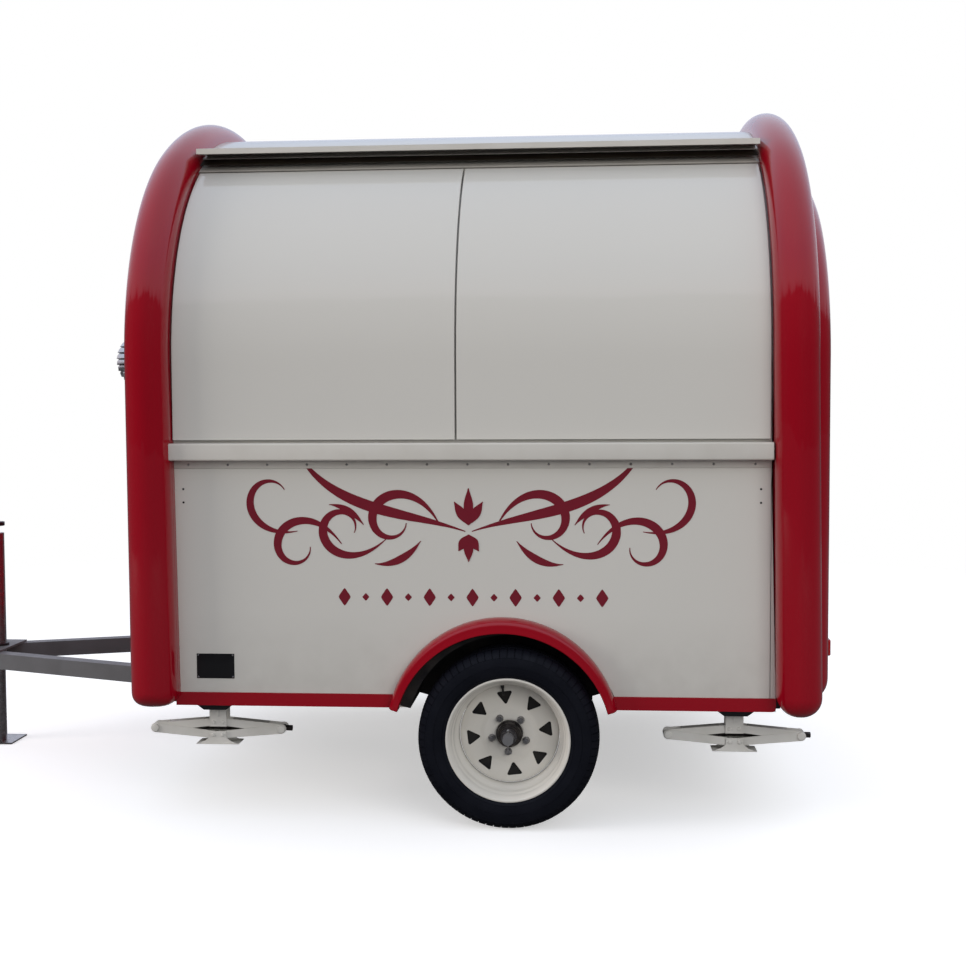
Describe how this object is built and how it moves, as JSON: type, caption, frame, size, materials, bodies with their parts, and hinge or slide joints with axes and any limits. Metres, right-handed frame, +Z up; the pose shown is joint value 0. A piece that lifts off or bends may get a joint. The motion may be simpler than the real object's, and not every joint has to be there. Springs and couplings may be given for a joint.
{
  "type": "single-axle food concession trailer",
  "caption": "Round-shouldered concession trailer with red moulded rims, cream lift-up serving hatches, rear door, A-frame tongue with jockey jack and corner scissor jacks.",
  "frame": {"origin": "on the ground, under the middle of the overall box", "axes": "+X to the rear door, -X to the tongue, -Y is the serving side, +Z up"},
  "size_m": [3.516, 2.202, 2.3791],
  "materials": {
    "red_gelcoat": "high gloss gelcoat",
    "cream_gelcoat": "high gloss gelcoat",
    "cream_paint": "satin paint",
    "chassis_paint": "galvanised and painted",
    "black_paint": "satin black paint",
    "plated_steel": "zinc plated",
    "stainless": "brushed",
    "wheel_paint": "gloss paint",
    "tyre_rubber": "moulded rubber",
    "floor_board": "phenolic faced board",
    "lamp_red": "clear moulded lens"
  },
  "bodies": {
    "trailer": {"chassis_frame": "chassis_paint", "tongue_frame": "chassis_paint", "coupler": "plated_steel", "tongue_jack_tube": "plated_steel", "floor": "floor_board", "front_rim": "red_gelcoat", "front_wall": "red_gelcoat", "rear_rim": "red_gelcoat", "rear_wall": "red_gelcoat", "door_hinges": "stainless", "left_lower_panel": "cream_gelcoat", "right_side_panel": "cream_gelcoat", "window_frame": "cream_gelcoat", "roof_panel": "cream_gelcoat", "drip_rails": "cream_paint", "sill_rails": "cream_paint", "skirts": "red_gelcoat", "hatch_hinges": "stainless", "left_fender": "red_gelcoat", "right_fender": "red_gelcoat", "axle_beam": "chassis_paint", "leaf_springs": "black_paint", "vent_cowl": "stainless", "tail_lights": "lamp_red", "jack_brackets": "cream_paint"},
    "front_hatch": {"front_hatch": "cream_gelcoat"},
    "rear_hatch": {"rear_hatch": "cream_gelcoat"},
    "door": {"door": "red_gelcoat", "door_handle": "stainless"},
    "left_wheel": {"left_tyre": "tyre_rubber", "left_wheel": "wheel_paint"},
    "right_wheel": {"right_tyre": "tyre_rubber", "right_wheel": "wheel_paint"},
    "tongue_jack_leg": {"tongue_jack_leg": "plated_steel"},
    "front_left_jack_upper_front": {"front_left_jack_upper_front": "cream_paint"},
    "front_left_jack_upper_rear": {"front_left_jack_upper_rear": "cream_paint"},
    "front_left_jack_lower_front": {"front_left_jack_lower_front": "cream_paint"},
    "front_left_jack_lower_rear": {"front_left_jack_lower_rear": "cream_paint"},
    "front_left_jack_foot": {"front_left_jack_foot": "cream_paint"},
    "front_left_jack_screw": {"front_left_jack_screw": "plated_steel"},
    "front_right_jack_upper_front": {"front_right_jack_upper_front": "cream_paint"},
    "front_right_jack_upper_rear": {"front_right_jack_upper_rear": "cream_paint"},
    "front_right_jack_lower_front": {"front_right_jack_lower_front": "cream_paint"},
    "front_right_jack_lower_rear": {"front_right_jack_lower_rear": "cream_paint"},
    "front_right_jack_foot": {"front_right_jack_foot": "cream_paint"},
    "front_right_jack_screw": {"front_right_jack_screw": "plated_steel"},
    "rear_left_jack_upper_front": {"rear_left_jack_upper_front": "cream_paint"},
    "rear_left_jack_upper_rear": {"rear_left_jack_upper_rear": "cream_paint"},
    "rear_left_jack_lower_front": {"rear_left_jack_lower_front": "cream_paint"},
    "rear_left_jack_lower_rear": {"rear_left_jack_lower_rear": "cream_paint"},
    "rear_left_jack_foot": {"rear_left_jack_foot": "cream_paint"},
    "rear_left_jack_screw": {"rear_left_jack_screw": "plated_steel"},
    "rear_right_jack_upper_front": {"rear_right_jack_upper_front": "cream_paint"},
    "rear_right_jack_upper_rear": {"rear_right_jack_upper_rear": "cream_paint"},
    "rear_right_jack_lower_front": {"rear_right_jack_lower_front": "cream_paint"},
    "rear_right_jack_lower_rear": {"rear_right_jack_lower_rear": "cream_paint"},
    "rear_right_jack_foot": {"rear_right_jack_foot": "cream_paint"},
    "rear_right_jack_screw": {"rear_right_jack_screw": "plated_steel"}
  },
  "joints": [
    {"name": "left_wheel_spin", "type": "hinge", "parent": "trailer", "child": "left_wheel", "pos_m": [0.692, -1, 0.285], "axis": [0, 1, 0], "continuous": true},
    {"name": "right_wheel_spin", "type": "hinge", "parent": "trailer", "child": "right_wheel", "pos_m": [0.692, 1, 0.285], "axis": [0, 1, 0], "continuous": true},
    {"name": "front_hatch_lift", "type": "hinge", "parent": "trailer", "child": "front_hatch", "pos_m": [0.092, -0.66206, 2.1123], "axis": [-1, 0, 0], "range_deg": [0, 80]},
    {"name": "rear_hatch_lift", "type": "hinge", "parent": "trailer", "child": "rear_hatch", "pos_m": [1.022, -0.66206, 2.1123], "axis": [-1, 0, 0], "range_deg": [0, 80]},
    {"name": "door_swing", "type": "hinge", "parent": "trailer", "child": "door", "pos_m": [1.715, 0.342, 1.23], "axis": [0, 0, 1], "range_deg": [0, 110]},
    {"name": "tongue_jack_retract", "type": "slide", "parent": "trailer", "child": "tongue_jack_leg", "axis": [0, 0, 1], "range_m": [0, 0.25]},
    {"name": "front_left_jack_lower", "type": "hinge", "parent": "trailer", "child": "front_left_jack_upper_front", "pos_m": [-0.271, -0.9, 0.30023], "axis": [0, -1, 0], "range_deg": [0, 38.5]},
    {"name": "front_left_jack_rear_arm", "type": "hinge", "parent": "trailer", "child": "front_left_jack_upper_rear", "pos_m": [-0.241, -0.9, 0.30023], "axis": [0, -1, 0], "range_deg": [-38.5, 0]},
    {"name": "front_left_jack_front_elbow", "type": "hinge", "parent": "front_left_jack_upper_front", "child": "front_left_jack_lower_front", "pos_m": [-0.46344, -0.9, 0.28], "axis": [0, -1, 0], "range_deg": [-77, 0]},
    {"name": "front_left_jack_rear_elbow", "type": "hinge", "parent": "front_left_jack_upper_rear", "child": "front_left_jack_lower_rear", "pos_m": [-0.04856, -0.9, 0.28], "axis": [0, -1, 0], "range_deg": [0, 77]},
    {"name": "front_left_jack_foot_pin", "type": "hinge", "parent": "front_left_jack_lower_front", "child": "front_left_jack_foot", "pos_m": [-0.271, -0.9, 0.25977], "axis": [0, -1, 0], "range_deg": [0, 38.5]},
    {"name": "front_left_jack_screw_pin", "type": "hinge", "parent": "front_left_jack_upper_front", "child": "front_left_jack_screw", "pos_m": [-0.46344, -0.9, 0.28], "axis": [0, -1, 0], "range_deg": [-38.5, 0]},
    {"name": "front_right_jack_lower", "type": "hinge", "parent": "trailer", "child": "front_right_jack_upper_front", "pos_m": [-0.271, 0.9, 0.30023], "axis": [0, -1, 0], "range_deg": [0, 38.5]},
    {"name": "front_right_jack_rear_arm", "type": "hinge", "parent": "trailer", "child": "front_right_jack_upper_rear", "pos_m": [-0.241, 0.9, 0.30023], "axis": [0, -1, 0], "range_deg": [-38.5, 0]},
    {"name": "front_right_jack_front_elbow", "type": "hinge", "parent": "front_right_jack_upper_front", "child": "front_right_jack_lower_front", "pos_m": [-0.46344, 0.9, 0.28], "axis": [0, -1, 0], "range_deg": [-77, 0]},
    {"name": "front_right_jack_rear_elbow", "type": "hinge", "parent": "front_right_jack_upper_rear", "child": "front_right_jack_lower_rear", "pos_m": [-0.04856, 0.9, 0.28], "axis": [0, -1, 0], "range_deg": [0, 77]},
    {"name": "front_right_jack_foot_pin", "type": "hinge", "parent": "front_right_jack_lower_front", "child": "front_right_jack_foot", "pos_m": [-0.271, 0.9, 0.25977], "axis": [0, -1, 0], "range_deg": [0, 38.5]},
    {"name": "front_right_jack_screw_pin", "type": "hinge", "parent": "front_right_jack_upper_front", "child": "front_right_jack_screw", "pos_m": [-0.46344, 0.9, 0.28], "axis": [0, -1, 0], "range_deg": [-38.5, 0]},
    {"name": "rear_left_jack_lower", "type": "hinge", "parent": "trailer", "child": "rear_left_jack_upper_front", "pos_m": [1.385, -0.9, 0.30023], "axis": [0, -1, 0], "range_deg": [0, 38.5]},
    {"name": "rear_left_jack_rear_arm", "type": "hinge", "parent": "trailer", "child": "rear_left_jack_upper_rear", "pos_m": [1.415, -0.9, 0.30023], "axis": [0, -1, 0], "range_deg": [-38.5, 0]},
    {"name": "rear_left_jack_front_elbow", "type": "hinge", "parent": "rear_left_jack_upper_front", "child": "rear_left_jack_lower_front", "pos_m": [1.19256, -0.9, 0.28], "axis": [0, -1, 0], "range_deg": [-77, 0]},
    {"name": "rear_left_jack_rear_elbow", "type": "hinge", "parent": "rear_left_jack_upper_rear", "child": "rear_left_jack_lower_rear", "pos_m": [1.60744, -0.9, 0.28], "axis": [0, -1, 0], "range_deg": [0, 77]},
    {"name": "rear_left_jack_foot_pin", "type": "hinge", "parent": "rear_left_jack_lower_front", "child": "rear_left_jack_foot", "pos_m": [1.385, -0.9, 0.25977], "axis": [0, -1, 0], "range_deg": [0, 38.5]},
    {"name": "rear_left_jack_screw_pin", "type": "hinge", "parent": "rear_left_jack_upper_front", "child": "rear_left_jack_screw", "pos_m": [1.19256, -0.9, 0.28], "axis": [0, -1, 0], "range_deg": [-38.5, 0]},
    {"name": "rear_right_jack_lower", "type": "hinge", "parent": "trailer", "child": "rear_right_jack_upper_front", "pos_m": [1.385, 0.9, 0.30023], "axis": [0, -1, 0], "range_deg": [0, 38.5]},
    {"name": "rear_right_jack_rear_arm", "type": "hinge", "parent": "trailer", "child": "rear_right_jack_upper_rear", "pos_m": [1.415, 0.9, 0.30023], "axis": [0, -1, 0], "range_deg": [-38.5, 0]},
    {"name": "rear_right_jack_front_elbow", "type": "hinge", "parent": "rear_right_jack_upper_front", "child": "rear_right_jack_lower_front", "pos_m": [1.19256, 0.9, 0.28], "axis": [0, -1, 0], "range_deg": [-77, 0]},
    {"name": "rear_right_jack_rear_elbow", "type": "hinge", "parent": "rear_right_jack_upper_rear", "child": "rear_right_jack_lower_rear", "pos_m": [1.60744, 0.9, 0.28], "axis": [0, -1, 0], "range_deg": [0, 77]},
    {"name": "rear_right_jack_foot_pin", "type": "hinge", "parent": "rear_right_jack_lower_front", "child": "rear_right_jack_foot", "pos_m": [1.385, 0.9, 0.25977], "axis": [0, -1, 0], "range_deg": [0, 38.5]},
    {"name": "rear_right_jack_screw_pin", "type": "hinge", "parent": "rear_right_jack_upper_front", "child": "rear_right_jack_screw", "pos_m": [1.19256, 0.9, 0.28], "axis": [0, -1, 0], "range_deg": [-38.5, 0]}
  ],
  "couplings": [
    {"joint": "front_left_jack_rear_arm", "follows": "front_left_jack_lower", "ratio": -1},
    {"joint": "front_left_jack_front_elbow", "follows": "front_left_jack_lower", "ratio": -2},
    {"joint": "front_left_jack_rear_elbow", "follows": "front_left_jack_lower", "ratio": 2},
    {"joint": "front_left_jack_foot_pin", "follows": "front_left_jack_lower", "ratio": 1},
    {"joint": "front_left_jack_screw_pin", "follows": "front_left_jack_lower", "ratio": -1},
    {"joint": "front_right_jack_rear_arm", "follows": "front_right_jack_lower", "ratio": -1},
    {"joint": "front_right_jack_front_elbow", "follows": "front_right_jack_lower", "ratio": -2},
    {"joint": "front_right_jack_rear_elbow", "follows": "front_right_jack_lower", "ratio": 2},
    {"joint": "front_right_jack_foot_pin", "follows": "front_right_jack_lower", "ratio": 1},
    {"joint": "front_right_jack_screw_pin", "follows": "front_right_jack_lower", "ratio": -1},
    {"joint": "rear_left_jack_rear_arm", "follows": "rear_left_jack_lower", "ratio": -1},
    {"joint": "rear_left_jack_front_elbow", "follows": "rear_left_jack_lower", "ratio": -2},
    {"joint": "rear_left_jack_rear_elbow", "follows": "rear_left_jack_lower", "ratio": 2},
    {"joint": "rear_left_jack_foot_pin", "follows": "rear_left_jack_lower", "ratio": 1},
    {"joint": "rear_left_jack_screw_pin", "follows": "rear_left_jack_lower", "ratio": -1},
    {"joint": "rear_right_jack_rear_arm", "follows": "rear_right_jack_lower", "ratio": -1},
    {"joint": "rear_right_jack_front_elbow", "follows": "rear_right_jack_lower", "ratio": -2},
    {"joint": "rear_right_jack_rear_elbow", "follows": "rear_right_jack_lower", "ratio": 2},
    {"joint": "rear_right_jack_foot_pin", "follows": "rear_right_jack_lower", "ratio": 1},
    {"joint": "rear_right_jack_screw_pin", "follows": "rear_right_jack_lower", "ratio": -1}
  ]
}
